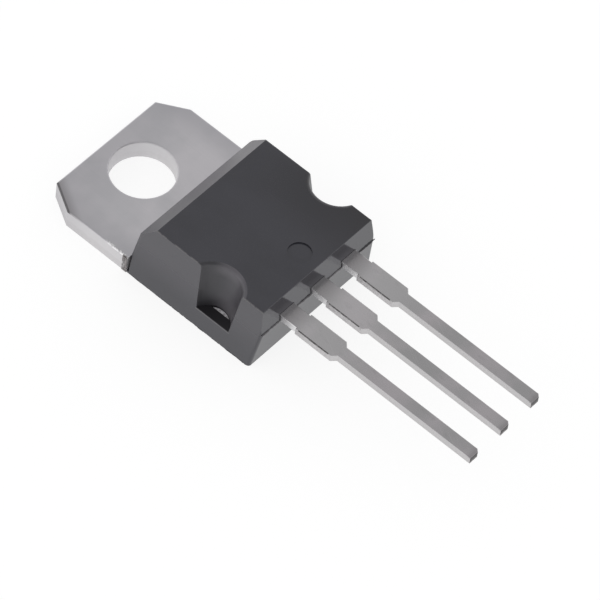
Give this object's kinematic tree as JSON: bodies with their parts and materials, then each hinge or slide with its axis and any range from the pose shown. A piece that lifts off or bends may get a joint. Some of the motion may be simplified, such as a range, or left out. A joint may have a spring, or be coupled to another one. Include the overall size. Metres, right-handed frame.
{
  "type": "power transistor",
  "caption": "Flat-tab power transistor with a moulded black body, a bare metal tab with a mounting hole, and straight leads in a row.",
  "frame": {"origin": "centre of the mounting hole, on the bare back face that seats on the heatsink", "axes": "+Z out of the top face along the mounting hole, leads towards -Y, X across the width"},
  "size_m": [0.0102, 0.029, 0.0045],
  "materials": {
    "plated_copper": "matte tin plate on stamped copper, bare and rough where the strip was sheared",
    "silicon": "polished metallised silicon",
    "solder": "soft solder",
    "bond_wire": "drawn aluminium wire",
    "epoxy": "fine satin moulded black epoxy"
  },
  "bodies": {
    "root": {"collector_frame": "plated_copper", "base_lead": "plated_copper", "emitter_lead": "plated_copper", "silicon_chip": "silicon", "chip_solder": "solder", "base_bond_wire": "bond_wire", "emitter_bond_wire": "bond_wire", "moulded_body": "epoxy"}
  },
  "joints": []
}
